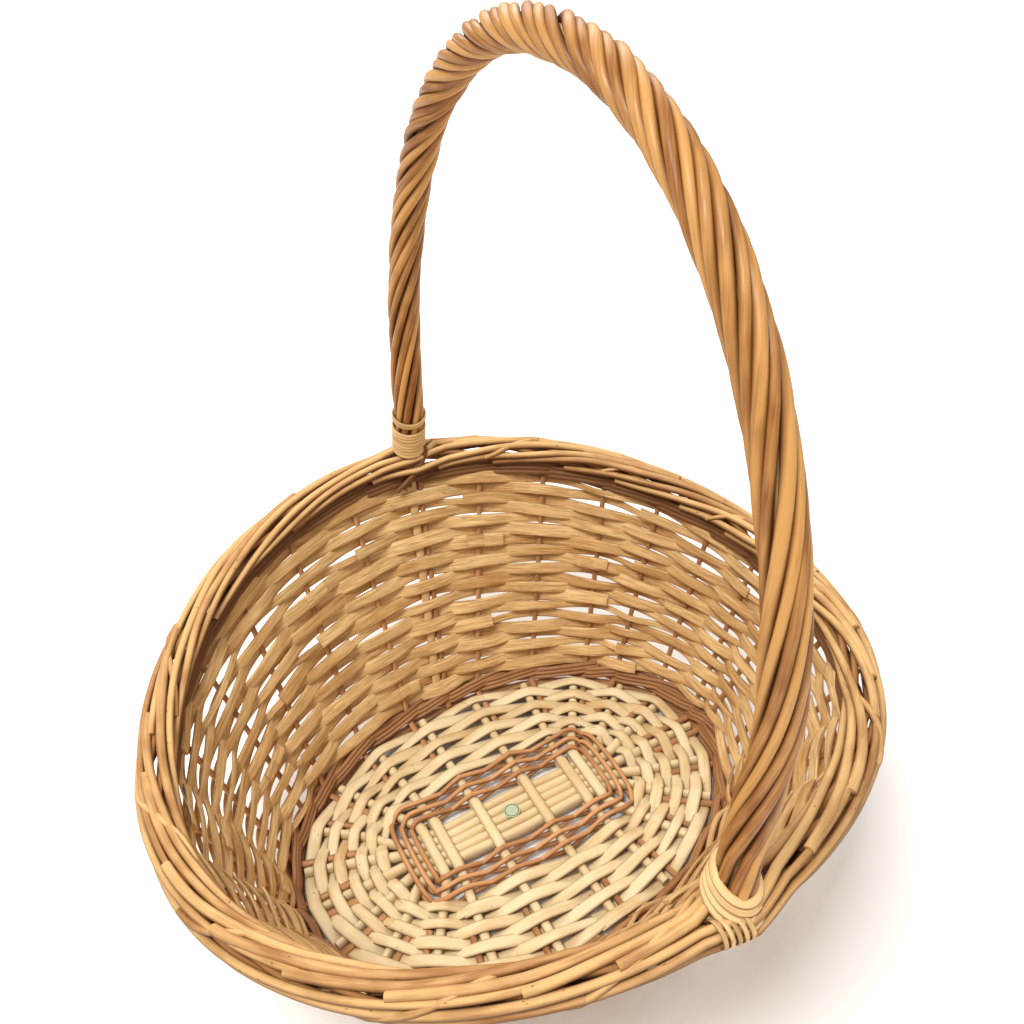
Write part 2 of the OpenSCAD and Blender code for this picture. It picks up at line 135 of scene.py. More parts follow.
def linear(red, green, blue):
    """A colour given in 0 to 255 steps, as the linear values that shaders use."""
    values = [c / 255 for c in (red, green, blue)]
    return tuple(v / 12.92 if v <= 0.04045 else ((v + 0.055) / 1.055) ** 2.4 for v in values)


def length(name, text, default, low, high):
    return bpy.props.FloatProperty(
        name=name, description=text, default=default, min=low, max=high, subtype="DISTANCE", unit="LENGTH"
    )


def colour(name, text, default):
    return bpy.props.FloatVectorProperty(
        name=name, description=text, default=default, min=0, max=1, size=3, subtype="COLOR"
    )


class BasketSizes(bpy.types.PropertyGroup):
    """Sizes of the willow that fills the frame."""

    floor_strip: length("Floor strip width", "Width of the split willow in the floor", 8.3 * MM, 0.004, 0.009)
    floor_strip_t: length(
        "Floor strip thickness", "Thickness of the floor's split willow", 1.9 * MM, 0.001, 0.003
    )
    wall_strip: length("Wall strip width", "Widest split willow in the wall", 9.4 * MM, 0.004, 0.01)
    wall_strip_t: length(
        "Wall strip thickness", "Thickness of the wall's split willow", 2.2 * MM, 0.001, 0.003
    )
    wobble: length("Wobble", "How far a wall strip strays from its row", 1.1 * MM, 0, 0.003)
    stake: length("Stake diameter", "Diameter of a side stake at its foot", 4.4 * MM, 0.003, 0.005)
    wale: length("Waling rod diameter", "Diameter of the round waling rods", 2.9 * MM, 0.002, 0.004)
    border_rod: length("Border rod diameter", "Diameter of a border rod at its butt", 6.0 * MM, 0.004, 0.007)
    handle_rod: length("Handle rod diameter", "Diameter of a roped handle rod", 5.3 * MM, 0.003, 0.006)
    handle_turns: bpy.props.FloatProperty(
        name="Handle turns", description="Turns the roping makes from foot to foot", default=5.3, min=2, max=9
    )
    skein: length("Skein width", "Width of the skein that binds the handle's feet", 3.0 * MM, 0.002, 0.004)


class BasketColours(bpy.types.PropertyGroup):
    """Colours of the willow."""

    cream: colour("Peeled willow", "Sticks and strips of the floor", linear(232, 210, 164))
    cream_dark: colour(
        "Peeled willow, dark", "Grain of the sticks and strips of the floor", linear(204, 166, 108)
    )
    tan: colour("Wall strips", "Pith side of the wall's split willow", linear(238, 198, 137))
    tan_dark: colour("Wall strips, dark", "Fibres of the wall's split willow", linear(194, 140, 76))
    honey: colour("Border rods", "Skin of the border rods", linear(222, 176, 114))
    honey_dark: colour("Border rods, dark", "Grain of the border rods", linear(166, 112, 60))
    amber: colour("Handle rods", "Skin of the handle rods", linear(208, 152, 84))
    amber_dark: colour("Handle rods, dark", "Grain of the handle rods", linear(140, 82, 34))
    brown: colour("Stakes", "Skin of the side stakes and waling", linear(212, 156, 104))
    brown_dark: colour("Stakes, dark", "Grain of the side stakes and waling", linear(158, 104, 58))
    bark: colour("Bark and painted shade", "Thin bark left along the edges", linear(112, 68, 32))


class BasketStudio(bpy.types.PropertyGroup):
    """Camera and stage."""

    eye: bpy.props.FloatVectorProperty(
        name="Eye", description="Place of the camera", default=(-0.162, -0.3987, 0.6204),
        subtype="TRANSLATION", unit="LENGTH",
    )
    azimuth: bpy.props.FloatProperty(
        name="Azimuth", description="Turn of the view about Z", default=math.radians(-24.0), subtype="ANGLE"
    )
    elevation: bpy.props.FloatProperty(
        name="Elevation", description="How steeply the view looks down", default=math.radians(39.5),
        subtype="ANGLE",
    )
    roll: bpy.props.FloatProperty(
        name="Roll", description="Tilt of the camera about its view", default=math.radians(-5.9),
        subtype="ANGLE",
    )
    lens: bpy.props.FloatProperty(
        name="Lens", description="Focal length, in millimetres", default=38.41, min=10, max=200
    )
    ground: colour("Ground", "Colour of the stage's floor", (0.93, 0.92, 0.90))


# ---- small curve helpers ----
def mix(a, b, share):
    return a + (b - a) * share


def smooth(share):
    share = min(1, max(0, share))
    return share * share * (3 - 2 * share)


def between(points, place, closed=True):
    """A smooth curve through the points, read at a place counted in points."""
    n = len(points)
    i = math.floor(place)
    f = place - i

    def at(k):
        return points[k % n] if closed else points[min(max(k, 0), n - 1)]

    a, b, c, d = at(i - 1), at(i), at(i + 1), at(i + 2)
    square = (2 * a - 5 * b + 4 * c - d) * f * f
    cube = (3 * b - a - 3 * c + d) * f * f * f
    return 0.5 * (2 * b + (c - a) * f + square + cube)


def smooth_path(points, steps):
    """Points on the smooth open curve through the given ones."""
    return [between(points, i / steps, False) for i in range((len(points) - 1) * steps + 1)]


def oval(a, b, angle, z=0.0):
    return Vector((a * math.cos(angle), b * math.sin(angle), z))


def steps_between(start, end, step):
    """Evenly spaced values from start to end, both included."""
    count = max(2, math.ceil(abs(end - start) / step))
    return [start + (end - start) * i / count for i in range(count + 1)]


# ---- strand outlines: across is first, out of the weave is second ----
def round_outline(sides):
    turns = [math.tau * j / sides for j in range(sides)]
    return [(0.5 * math.cos(turn), 0.5 * math.sin(turn)) for turn in turns]


ROUND = round_outline(10)
THIN_ROUND = round_outline(8)
FLAT = [
    (-0.5, -0.2), (-0.44, 0.2), (-0.22, 0.46), (0.22, 0.46),
    (0.44, 0.2), (0.5, -0.2), (0.3, -0.5), (-0.3, -0.5),
]
SPLIT = [
    (-0.5, -0.12), (-0.46, 0.24), (-0.24, 0.46), (0.24, 0.46), (0.46, 0.24), (0.5, -0.12),
    (0.42, -0.44), (0.16, -0.5), (0.0, -0.4), (-0.16, -0.5), (-0.42, -0.44),
]
HALF = [
    (-0.5, -0.5), (-0.49, -0.1), (-0.38, 0.22), (-0.2, 0.44), (0.0, 0.5),
    (0.2, 0.44), (0.38, 0.22), (0.49, -0.1), (0.5, -0.5),
]


class Piece:
    """Gathers strands into one mesh, with the strand coordinates that the materials read."""

    def __init__(self, name, seed):
        self.name = name
        self.mesh = bmesh.new()
        self.draw = random.Random(seed)

    def strand(self, path, out, width, thick, outline, closed=False, darker=0.0):
        """Bends a grid round the path, closes its seam and caps its ends.

        width and thick are one value, or one for each point. out is the way that the outline's second
        axis faces.
        """
        count, sides = len(path), len(outline)
        bm = bmesh.new()
        grain = bm.verts.layers.float_vector.new("grain")
        strand = bm.verts.layers.float_vector.new("strand")
        bmesh.ops.create_grid(bm, x_segments=sides, y_segments=count - 1 + closed, size=1)
        # darker pushes the strand's tone towards the dark colour: painted shade for strands that sit in
        # recesses.
        shade = self.draw.random() + darker
        shift = Vector((self.draw.random(), self.draw.random(), self.draw.random() * 9))
        runs, frames = [0.0], []
        for i in range(count + closed):
            k = i % count
            before = path[k - 1] if closed or k else path[0]
            after = path[(k + 1) % count] if closed or k < count - 1 else path[-1]
            along = (after - before).normalized()
            face = out[k] - out[k].dot(along) * along
            face.normalize()
            frames.append((path[k], face.cross(along), face))
            if i:
                runs.append(runs[-1] + (path[k] - path[i - 1]).length)
        for v in bm.verts:
            j = round((v.co.x + 1) / 2 * sides) % sides
            i = round((v.co.y + 1) / 2 * (count - 1 + closed))
            place, across, face = frames[i]
            k = i % count
            w = width[k] if isinstance(width, list) else width
            t = thick[k] if isinstance(thick, list) else thick
            x, y = outline[j]
            v.co = place + across * (x * w) + face * (y * t)
            v[grain] = Vector((x * w, y * t, runs[i])) + shift
            v[strand] = Vector((x, y, shade))
        bmesh.ops.remove_doubles(bm, verts=bm.verts, dist=1e-7)
        rims = [e for e in bm.edges if e.is_boundary]
        for e in rims:
            e.smooth = False
        if rims:
            bmesh.ops.holes_fill(bm, edges=rims, sides=0)
        bmesh.ops.recalc_face_normals(bm, faces=bm.faces)
        for f in bm.faces:
            f.smooth = True
        self.take(bm)

    def take(self, bm):
        """Adds a finished bmesh to the piece and frees it."""
        part = bpy.data.meshes.new("part")
        bm.to_mesh(part)
        bm.free()
        self.mesh.from_mesh(part)
        bpy.data.meshes.remove(part)

    def finish(self, material, slot, *nodes):
        """Makes the object, which stands for the given frame nodes."""
        mesh = bpy.data.meshes.new(self.name)
        self.mesh.to_mesh(mesh)
        self.mesh.free()
        mesh.materials.append(material)
        obj = bpy.data.objects.new(self.name, mesh)
        bpy.context.scene.collection.objects.link(obj)
        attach(obj, "root")
        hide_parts(*nodes)


def numbered(stem, count):
    return [f"{stem}_{i + 1}" for i in range(count)]


# ---- places of the floor's sticks ----
def cross_x(i):
    return FLOOR_MIDDLE.x + (
        -OUTER_CROSS - PAIR_PITCH, -OUTER_CROSS, -INNER_CROSS,
        INNER_CROSS, OUTER_CROSS, OUTER_CROSS + PAIR_PITCH,
    )[i]


def long_y(i):
    return FLOOR_MIDDLE.y + (i - 2) * LONG_PITCH


def stick_start(m):
    """Where stick end m leaves the slath, counted round the floor from +X."""
    m = m % STICKS
    if m <= 2:
        return Vector((FLOOR_MIDDLE.x + SLATH_X, long_y(m + 2), STICK_Z))
    if m <= 8:
        return Vector((cross_x(8 - m), FLOOR_MIDDLE.y + SLATH_Y, STICK_Z))
    if m <= 13:
        return Vector((FLOOR_MIDDLE.x - SLATH_X, long_y(13 - m), STICK_Z))
    if m <= 19:
        return Vector((cross_x(m - 14), FLOOR_MIDDLE.y - SLATH_Y, STICK_Z))
    return Vector((FLOOR_MIDDLE.x + SLATH_X, long_y(m - 20), STICK_Z))


def stick_end(m):
    return FLOOR_MIDDLE + oval(FLOOR_A, FLOOR_B, m * STICK_STEP, STICK_Z)


def stick_at(m, share):
    return mix(stick_start(m), stick_end(m), share)


def stick_side(m):
    d = (stick_end(m) - stick_start(m)).normalized()
    return Vector((-d.y, d.x, 0))


# ---- places of the wall's stakes ----
def stake_angle(k):
    return (k + 0.5) * STAKE_STEP


def near_stick(k):
    return round(stake_angle(k) / STICK_STEP + 1e-9)


def rim_angle(angle):
    """The stakes' tops lean over with the handle, less on the near side than on the far side."""
    foot_x = FAR_FOOT_X if math.sin(angle) > 0 else NEAR_FOOT_X
    return angle - math.asin((foot_x - LEG_SIDE) / CORE_A) * math.sin(angle)


def rim_z(angle):
    return (RIM_END_Z + RIM_SIDE_Z) / 2 + (RIM_END_Z - RIM_SIDE_Z) / 2 * math.cos(2 * angle)


def core_at(angle):
    r = rim_angle(angle)
    return oval(CORE_A, CORE_B, r, rim_z(r))


def core_out(angle):
    r = rim_angle(angle)
    return Vector((CORE_B * math.cos(r), CORE_A * math.sin(r), 0)).normalized()


def foot_side(k):
    """How far a stake stands beside its stick."""
    if k in HANDLE_STAKES:
        return Vector((-LEG_SIDE, 0, 0))
    m = near_stick(k)
    way = 1 if stake_angle(k) > m * STICK_STEP else -1
    return stick_side(m) * way * FOOT_OFF


def bend_at(k):
    angle = stake_angle(k) if k in HANDLE_STAKES else near_stick(k) * STICK_STEP
    return FLOOR_MIDDLE + oval(BEND_A, BEND_B, angle, STICK_Z) + foot_side(k)


def top_at(k):
    shift = Vector((-LEG_SIDE, 0, 0)) if k in HANDLE_STAKES else Vector()
    return core_at(stake_angle(k)) + shift


BENDS = [bend_at(k) for k in range(STAKES)]
TOPS = [top_at(k) for k in range(STAKES)]
LEG_SHIFT = [Vector((LEG_SIDE, 0, 0)) if k in HANDLE_STAKES else Vector() for k in range(STAKES)]
WALL_FOOT = [BENDS[k] + LEG_SHIFT[k] for k in range(STAKES)]
WALL_TOP = [TOPS[k] + LEG_SHIFT[k] for k in range(STAKES)]


def wall_at(place):
    """The wall's foot, its way up, its way out and its height, at a place counted in stakes."""
    foot, top = between(WALL_FOOT, place), between(WALL_TOP, place)
    ahead = between(WALL_FOOT, place + 0.4) + between(WALL_TOP, place + 0.4)
    behind = between(WALL_FOOT, place - 0.4) + between(WALL_TOP, place - 0.4)
    up = (top - foot).normalized()
    out = (ahead - behind).cross(up).normalized()
    return foot, up, out, (top - foot).length


# ---- places of the handle ----
def bow_x(z, side):
    """The bow leans forwards; the near leg starts further back and curves up into the same plane."""
    bend = max(0, 1 - (z - RIM_SIDE_Z) / NEAR_BEND_H)
    back = (FAR_FOOT_X - NEAR_FOOT_X) * bend ** NEAR_BEND_POWER if side < 0 else 0
    return mix(FAR_FOOT_X, TOP_X, (z - RIM_SIDE_Z) / (BOW_TOP_Z - RIM_SIDE_Z)) - back


def handle_stake(side):
    return HANDLE_STAKES[0] if side > 0 else HANDLE_STAKES[1]


def bow_leg(side):
    """The flat leg of the bow, from the floor's edge to the border."""
    k = handle_stake(side)
    return [mix(BENDS[k], TOPS[k], share) + 2 * Vector((LEG_SIDE, 0, 0)) for share in LEG_SHARES]


def bow_post(side):
    k = handle_stake(side)
    c = TOPS[k]
    points = []
    for z in (0, POST_LOW, POST_HIGH):
        share = z / POST_HIGH
        x = mix(c.x + 2 * LEG_SIDE, bow_x(c.z + POST_HIGH, side), share)
        points.append(Vector((x, mix(c.y, side * BOW_HALF_W, share), c.z + z)))
    return points


def bow_arch(steps):
    points = []
    for j in range(steps + 1):
        c, s = math.cos(math.pi * j / steps), math.sin(math.pi * j / steps)
        z = BOW_SHOULDER_Z + (BOW_TOP_Z - BOW_SHOULDER_Z) * abs(s) ** (2 / BOW_POWER)
        y = BOW_HALF_W * math.copysign(abs(c) ** (2 / BOW_POWER), c)
        points.append(Vector((bow_x(z, c), y, z)))
    return points


def even_path(points, step):
    """The same path, with its points an even step apart."""
    runs = [0.0]
    for a, b in zip(points, points[1:]):
        runs.append(runs[-1] + (b - a).length)
    even, i = [], 0
    count = math.ceil(runs[-1] / step)
    for n in range(count + 1):
        run = runs[-1] * n / count
        while i < len(points) - 2 and runs[i + 1] < run:
            i += 1
        even.append(mix(points[i], points[i + 1], (run - runs[i]) / (runs[i + 1] - runs[i])))
    return even


# ---- materials ----
def add_node(tree, kind, **values):
    node = tree.nodes.new(kind)
    for key, value in values.items():
        if isinstance(value, bpy.types.NodeSocket):
            tree.links.new(value, node.inputs[key])
        elif key in node.inputs:
            node.inputs[key].default_value = value
        else:
            setattr(node, key, value)
    return node


def math_node(tree, operation, a, b=0.0, clamp=False):
    node = tree.nodes.new("ShaderNodeMath")
    node.operation = operation
    node.use_clamp = clamp
    for socket, value in zip(node.inputs, (a, b)):
        if isinstance(value, bpy.types.NodeSocket):
            tree.links.new(value, socket)
        else:
            socket.default_value = value
    return node.outputs[0]


def mix_colour(tree, factor, a, b, blend="MIX"):
    node = tree.nodes.new("ShaderNodeMix")
    node.data_type = "RGBA"
    node.blend_type = blend
    for socket, value in ((node.inputs[0], factor), (node.inputs[6], a), (node.inputs[7], b)):
        if isinstance(value, bpy.types.NodeSocket):
            tree.links.new(value, socket)
        else:
            socket.default_value = value if isinstance(value, float) else (*value[:3], 1)
    return node.outputs[2]


def mix_value(tree, a, b, share):
    rest = math_node(tree, "MULTIPLY", a, 1 - share)
    return math_node(tree, "ADD", rest, math_node(tree, "MULTIPLY", b, share))


def stretch(tree, value, low, high):
    """Maps low to 0 and high to 1."""
    node = add_node(tree, "ShaderNodeMapRange", clamp=True)
    tree.links.new(value, node.inputs[0])
    node.inputs[1].default_value = low
    node.inputs[2].default_value = high
    return node.outputs[0]


def fibre_noise(tree, vector, scale, along, detail):
    """Noise drawn out along the strand."""
    drawn = add_node(tree, "ShaderNodeVectorMath", operation="MULTIPLY")
    tree.links.new(vector, drawn.inputs[0])
    drawn.inputs[1].default_value = (scale, scale, scale * along)
    node = add_node(tree, "ShaderNodeTexNoise", Scale=1.0, Detail=detail, Roughness=0.6)
    tree.links.new(drawn.outputs[0], node.inputs["Vector"])
    return node.outputs["Fac"]


def willow_group():
    """Willow's fibres, tone from rod to rod, bark edges, scars and pith, with painted shade on each rod's
    underside and sides, from the strand's coordinates.
    """
    tree = bpy.data.node_groups.new("Willow grain", "ShaderNodeTree")
    face = tree.interface
    for name, kind, default in (
        ("Light", "NodeSocketColor", (0.8, 0.6, 0.4, 1)),
        ("Dark", "NodeSocketColor", (0.5, 0.3, 0.15, 1)),
        ("Bark and painted shade", "NodeSocketColor", (0.2, 0.1, 0.04, 1)),
        ("Fibre", "NodeSocketFloat", 0.5),
        ("Tone spread", "NodeSocketFloat", 0.5),
        ("Edge bark", "NodeSocketFloat", 0.0),
        ("Pith", "NodeSocketFloat", 0.0),
        ("Scars", "NodeSocketFloat", 0.5),
        ("Gloss", "NodeSocketFloat", 0.5),
        ("Crevice", "NodeSocketFloat", 0.5),
    ):
        face.new_socket(name, in_out="INPUT", socket_type=kind).default_value = default
    for name, kind in (
        ("Color", "NodeSocketColor"),
        ("Roughness", "NodeSocketFloat"),
        ("Height", "NodeSocketFloat"),
    ):
        face.new_socket(name, in_out="OUTPUT", socket_type=kind)
    given = tree.nodes.new("NodeGroupInput").outputs
    result = tree.nodes.new("NodeGroupOutput").inputs
    grain = add_node(tree, "ShaderNodeAttribute", attribute_name="grain").outputs["Vector"]
    strand = add_node(tree, "ShaderNodeAttribute", attribute_name="strand").outputs["Vector"]
    parts = add_node(tree, "ShaderNodeSeparateXYZ", Vector=strand).outputs
    coarse = fibre_noise(tree, grain, 650.0, 0.05, 3.0)
    fine = fibre_noise(tree, grain, 2600.0, 0.025, 2.0)
    patch = fibre_noise(tree, grain, 60.0, 0.5, 2.0)
    fleck = fibre_noise(tree, grain, 520.0, 0.45, 1.0)
    streak = stretch(tree, mix_value(tree, coarse, fine, 0.4), 0.36, 0.66)
    amount = math_node(tree, "MULTIPLY", streak, given["Fibre"])
    tone = math_node(tree, "SUBTRACT", parts[2], 0.5)
    drift = math_node(tree, "SUBTRACT", stretch(tree, patch, 0.3, 0.7), 0.5)
    tone = math_node(tree, "MULTIPLY", math_node(tree, "ADD", tone, drift), given["Tone spread"])
    amount = math_node(tree, "ADD", amount, tone, True)
    base = mix_colour(tree, amount, given["Light"], given["Dark"])
    side = math_node(tree, "ABSOLUTE", parts[0])
    uneven = math_node(tree, "SUBTRACT", coarse, 0.5)
    ragged = math_node(tree, "ADD", side, math_node(tree, "MULTIPLY", uneven, 0.5))
    edge = math_node(tree, "MULTIPLY", stretch(tree, ragged, 0.4, 0.5), given["Edge bark"])
    base = mix_colour(tree, edge, base, given["Bark and painted shade"])
    inside = stretch(tree, parts[1], -0.2, -0.4)
    rib = math_node(tree, "MULTIPLY", stretch(tree, fine, 0.5, 0.62), inside)
    rib = math_node(tree, "MULTIPLY", rib, given["Pith"])
    base = mix_colour(tree, math_node(tree, "MULTIPLY", rib, 0.55), base, given["Dark"])
    scar = math_node(tree, "MULTIPLY", stretch(tree, fleck, 0.71, 0.8), given["Scars"])
    base = mix_colour(tree, scar, base, given["Bark and painted shade"])
    # Painted shade: each strand's underside and sides are mixed towards the bark colour, as the shade that
    # falls in the crevices between rods.
    under = math_node(tree, "ADD", parts[1], math_node(tree, "MULTIPLY", side, -0.5))
    shade = math_node(tree, "MULTIPLY", stretch(tree, under, 0.22, -0.3), given["Crevice"])
    base = mix_colour(tree, shade, base, given["Bark and painted shade"])
    height = mix_value(tree, coarse, fine, 0.5)
    height = math_node(tree, "SUBTRACT", height, math_node(tree, "MULTIPLY", scar, 0.3))
    height = math_node(tree, "SUBTRACT", height, math_node(tree, "MULTIPLY", rib, 0.5))
    matt = math_node(tree, "ADD", 0.62, math_node(tree, "MULTIPLY", streak, 0.2))
    rough = math_node(tree, "SUBTRACT", matt, given["Gloss"], True)
    tree.links.new(base, result["Color"])
    tree.links.new(rough, result["Roughness"])
    tree.links.new(height, result["Height"])
    return tree


def willow(name, light, dark, bump, **values):
    """A willow material: the shared grain, with this material's own values, on one shader."""
    found = bpy.data.materials.get(name)
    if found:
        return found
    group = bpy.data.node_groups.get("Willow grain") or willow_group()
    material = bpy.data.materials.new(name)
    material.use_nodes = True
    tree = material.node_tree
    shader = tree.nodes["Principled BSDF"]
    node = tree.nodes.new("ShaderNodeGroup")
    node.node_tree = group
    node.inputs["Light"].default_value = (*light, 1)
    node.inputs["Dark"].default_value = (*dark, 1)
    node.inputs["Bark and painted shade"].default_value = (*bpy.context.scene.basket_colours.bark, 1)
    for key, value in values.items():
        node.inputs[key.replace("_", " ").capitalize()].default_value = value
    tree.links.new(node.outputs["Color"], shader.inputs["Base Color"])
    tree.links.new(node.outputs["Roughness"], shader.inputs["Roughness"])
    relief = add_node(tree, "ShaderNodeBump", Strength=bump, Distance=0.0006)
    tree.links.new(node.outputs["Height"], relief.inputs["Height"])
    tree.links.new(relief.outputs["Normal"], shader.inputs["Normal"])
    shader.inputs["Specular IOR Level"].default_value = 0.35
    return material


def peeled(context):
    c = context.scene.basket_colours
    return willow(
        "Peeled willow", c.cream, c.cream_dark, 0.35,
        fibre=0.5, tone_spread=0.4, scars=0.3, gloss=0.14, crevice=0.25,
    )


def floor_split(context):
    c = context.scene.basket_colours
    return willow(
        "Floor split willow", c.cream, c.cream_dark, 0.4,
        fibre=0.5, tone_spread=0.9, edge_bark=0.25, scars=0.6, gloss=0.2, crevice=0.6,
    )


def wall_split(context):
    c = context.scene.basket_colours
    return willow(
        "Wall split willow", c.tan, c.tan_dark, 0.9,
        fibre=0.6, tone_spread=0.6, edge_bark=0.6, pith=1.0, scars=0.35, gloss=0.0, crevice=0.0,
    )


def honey_rod(context):
    c = context.scene.basket_colours
    return willow(
        "Border rod willow", c.honey, c.honey_dark, 0.6,
        fibre=0.6, tone_spread=0.9, scars=0.8, gloss=0.16, crevice=0.95,
    )


def amber_rod(context):
    c = context.scene.basket_colours
    return willow(
        "Handle rod willow", c.amber, c.amber_dark, 0.35,
        fibre=0.6, tone_spread=0.8, scars=0.25, gloss=0.34, crevice=0.95,
    )


def brown_rod(context):
    c = context.scene.basket_colours
    return willow(
        "Stake willow", c.brown, c.brown_dark, 0.35,
        fibre=0.5, tone_spread=0.7, scars=0.3, gloss=0.16, crevice=0.5,
    )


def skein_willow(context):
    c = context.scene.basket_colours
    return willow(
        "Skein willow", c.tan, c.amber_dark, 0.5,
        fibre=0.6, tone_spread=0.6, scars=0.3, gloss=0.24, crevice=0.8,
    )


def liner(context):
    c = context.scene.basket_colours
    return willow(
        "Liner willow", c.tan, c.tan_dark, 0.5,
        fibre=0.6, tone_spread=0.4, scars=0.3, gloss=0.1, crevice=0.3,
    )


# ---- the pieces ----
class BASKET_OT_floor_sticks(bpy.types.Operator):
    """Five long sticks side by side, and six cross sticks split to let them through"""

    bl_idname = "basket.floor_sticks"
    bl_label = "Floor Sticks"

    def execute(self, context):
        piece = Piece("floor_sticks", 11)
        for i in range(LONG_STICKS):
            self.long_stick(piece, i)
        for i in range(CROSS_STICKS):
            self.cross_stick(piece, i)
        nodes = numbered("base_long_stick", LONG_STICKS) + numbered("base_cross_stick", CROSS_STICKS)
        piece.finish(peeled(context), "peeled_stick", *nodes)
        return {"FINISHED"}

    def long_stick(self, piece, i):
        left, right = 13 - i, (i + 20) % STICKS
        path = smooth_path([
            stick_end(left), stick_at(left, 0.5), stick_start(left),
            Vector((FLOOR_MIDDLE.x, long_y(i), STICK_Z)),
            stick_start(right), stick_at(right, 0.5), stick_end(right),
        ], 8)
        n = len(path)
        width = [mix(5.4 * MM, LONG_PITCH, smooth(min(j, n - 1 - j) / 14)) for j in range(n)]
        piece.strand(path, [Z_AXIS] * n, width, 6.0 * MM, HALF)

    def cross_stick(self, piece, i):
        far, near = 8 - i, 14 + i
        stick_w = piece.draw.uniform(5.6, 6.4) * MM
        slath_w = piece.draw.uniform(7.0, 7.8) * MM
        y = FLOOR_MIDDLE.y
        for way in (1, -1):
            rest = Vector((0, 0, way * 1.5 * MM))
            lift = Vector((0, 0, way * (SPLIT_LIFT + 1.1 * MM)))
            path = smooth_path([
                stick_end(far) + rest, stick_at(far, 0.5) + rest, stick_at(far, 0.06) + rest,
                Vector((cross_x(i), y + SLATH_HALF_W, STICK_Z)) + lift,
                Vector((cross_x(i), y, STICK_Z)) + lift,
                Vector((cross_x(i), y - SLATH_HALF_W, STICK_Z)) + lift,
                stick_at(near, 0.06) + rest, stick_at(near, 0.5) + rest, stick_end(near) + rest,
            ], 6)
            n = len(path)
            width = [mix(slath_w, stick_w, smooth((abs(j - (n - 1) / 2) - 6) / 10)) for j in range(n)]
            piece.strand(path, [Z_AXIS * way] * n, width, 3.0 * MM, HALF)


class BASKET_OT_floor_pairing(bpy.types.Operator):
    """Rounds of paired brown rods that tie the slath together"""

    bl_idname = "basket.floor_pairing"
    bl_label = "Floor Pairing"

    def execute(self, context):
        piece = Piece("floor_pairing", 23)
        lift = STICK_RADIUS + 1.4 * MM
        for i in range(PAIRING_ROUNDS):
            share = (i * 1.18 + 0.2) / PAIRING_ROUNDS * PAIRING_SHARE
            for phase in (0, 1):
                points = []
                for u, (middle, angle, half) in enumerate(self.bundles(share, share - 0.05)):
                    across = Vector((-math.sin(angle), math.cos(angle), 0))
                    way = 1 if (u + i + phase) % 2 == 0 else -1
                    for side in (-0.8, 0.8):
                        points.append(middle + across * half * side + Z_AXIS * way * lift)
                count = len(points)
                path = [between(points, j / 6) for j in range(count * 6)]
                piece.strand(path, [Z_AXIS] * len(path), 3.3 * MM, 3.1 * MM, THIN_ROUND, closed=True)
        piece.finish(brown_rod(context), "brown_rod", *numbered("base_pairing_rod", PAIRING_ROUNDS))
        return {"FINISHED"}

    def bundles(self, share, end_share):
        """Middle, direction and half width of each bundle of sticks that the pairing goes round."""
        def pair(a, b, at=share):
            return (stick_at(a, at) + stick_at(b, at)) / 2

        end_half = stick_at(2, share).y - FLOOR_MIDDLE.y + STICK_RADIUS + 2.6 * MM
        pair_half = (stick_at(3, share) - stick_at(4, share)).length / 2 + STICK_RADIUS
        one_half = STICK_RADIUS + 0.5 * MM
        right, up, left, down = 0.0, math.pi / 2, math.pi, -math.pi / 2
        return [
            (pair(2, 20, end_share), right, end_half),
            (pair(3, 4), up, pair_half), (stick_at(5, share), up, one_half),
            (stick_at(6, share), up, one_half), (pair(7, 8), up, pair_half),
            (pair(9, 13, end_share), left, end_half),
            (pair(14, 15), down, pair_half), (stick_at(16, share), down, one_half),
            (stick_at(17, share), down, one_half), (pair(18, 19), down, pair_half),
        ]


class BASKET_OT_floor_weave(bpy.types.Operator):
    """Rounds of flat split willow over and under the floor's sticks"""

    bl_idname = "basket.floor_weave"
    bl_label = "Floor Weave"

    def execute(self, context):
        sizes = context.scene.basket_sizes
        piece = Piece("floor_weave", 37)
        over = STICK_RADIUS + 0.1 * MM + sizes.floor_strip_t / 2
        for i in range(FLOOR_ROUNDS):
            share = PAIRING_SHARE + (i + 0.5) / FLOOR_ROUNDS * (1 - PAIRING_SHARE)
            spots = [stick_at(m, share) for m in range(STICKS)]
            first = piece.draw.randrange(STICKS)
            joins = [first, first + piece.draw.choice((10, 11, 12)), first + STICKS]
            for start, end in zip(joins, joins[1:]):
                path, out, width, thick = [], [], [], []
                for p in steps_between(start - 0.3, end + 0.3, 0.07):
                    wave = math.asin(0.95 * math.cos(math.pi * (p + i))) / math.asin(0.95)
                    spot = mix(spots[math.floor(p) % STICKS], spots[(math.floor(p) + 1) % STICKS], p % 1)
                    spot = mix(spot, between(spots, p), 0.6)
                    outward = (spot - FLOOR_MIDDLE).normalized()
                    stray = noise.noise(Vector((p * 0.6, i * 5.1, 3.3))) * 1.0 * MM
                    near_end = min(p - start + 0.3, end + 0.3 - p)
                    path.append(spot + outward * stray + Z_AXIS * (wave * over - 0.5 * MM * (near_end < 0.5)))
                    tilt = noise.noise(Vector((p * 0.9, i * 2.7, 9.1))) * 0.5
                    out.append((Z_AXIS + outward * tilt).normalized())
                    narrow = 1.02 + 0.26 * noise.noise(Vector((p * 0.35, i * 7.7, 1.9)))
                    taper = mix(0.55, 1, smooth((end + 0.3 - p) / 1.2))
                    width.append(sizes.floor_strip * narrow * taper)
                    thick.append(sizes.floor_strip_t * mix(0.7, 1, taper))
                piece.strand(path, out, width, thick, FLAT)
        piece.finish(floor_split(context), "split_floor", *numbered("base_weaver", FLOOR_ROUNDS))
        return {"FINISHED"}


